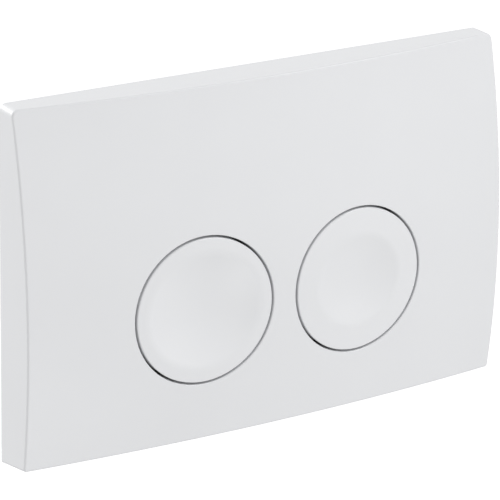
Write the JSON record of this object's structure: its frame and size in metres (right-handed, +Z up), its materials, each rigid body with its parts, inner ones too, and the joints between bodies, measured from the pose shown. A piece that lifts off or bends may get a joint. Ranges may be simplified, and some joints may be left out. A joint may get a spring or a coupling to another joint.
{
  "type": "flush button plate",
  "caption": "White dual flush plate with a doubly curved face and round dished push buttons, one dish larger, with sprung plungers, push rods and a clamped wall frame.",
  "frame": {"origin": "middle of the plate on the wall plane, midway between the fixing bolts", "axes": "+X to the right along the plate, +Y into the wall, +Z up; the domed face looks towards -Y"},
  "size_m": [0.246, 0.0737, 0.164],
  "materials": {
    "plate_white": "moulded white, satin gloss",
    "button_white": "moulded white, satin gloss",
    "carrier_plastic": "moulded light grey",
    "plunger_plastic": "natural acetal",
    "frame_plastic": "moulded grey",
    "clamp_nut_plastic": "moulded dark grey",
    "rod_plastic": "extruded grey",
    "spring_steel": "drawn stainless wire",
    "plated_screw": "zinc plated",
    "plated_bolt": "zinc plated",
    "plated_washer": "zinc plated",
    "lock_nut_brass": "turned brass"
  },
  "bodies": {
    "plate": {"cover_plate": "plate_white", "button_carrier": "carrier_plastic", "carrier_screws": "plated_screw", "full_flush_return_spring": "spring_steel", "half_flush_return_spring": "spring_steel", "mounting_frame": "frame_plastic", "left_spacer_bolt": "plated_bolt", "right_spacer_bolt": "plated_bolt", "left_washer": "plated_washer", "right_washer": "plated_washer", "left_clamp_nut": "clamp_nut_plastic", "right_clamp_nut": "clamp_nut_plastic"},
    "full_flush": {"full_flush_button": "button_white", "full_flush_plunger": "plunger_plastic", "full_flush_push_rod": "rod_plastic", "full_flush_lock_nut": "lock_nut_brass"},
    "half_flush": {"half_flush_button": "button_white", "half_flush_plunger": "plunger_plastic", "half_flush_push_rod": "rod_plastic", "half_flush_lock_nut": "lock_nut_brass"}
  },
  "joints": [
    {"name": "full_flush_press", "type": "slide", "parent": "plate", "child": "full_flush", "axis": [0, 1, 0], "range_m": [0, 0.007], "stiffness_N_per_m": 800, "springref_m": -0.008, "deforming": ["full_flush_return_spring"]},
    {"name": "half_flush_press", "type": "slide", "parent": "plate", "child": "half_flush", "axis": [0, 1, 0], "range_m": [0, 0.007], "stiffness_N_per_m": 800, "springref_m": -0.008, "deforming": ["half_flush_return_spring"]}
  ]
}
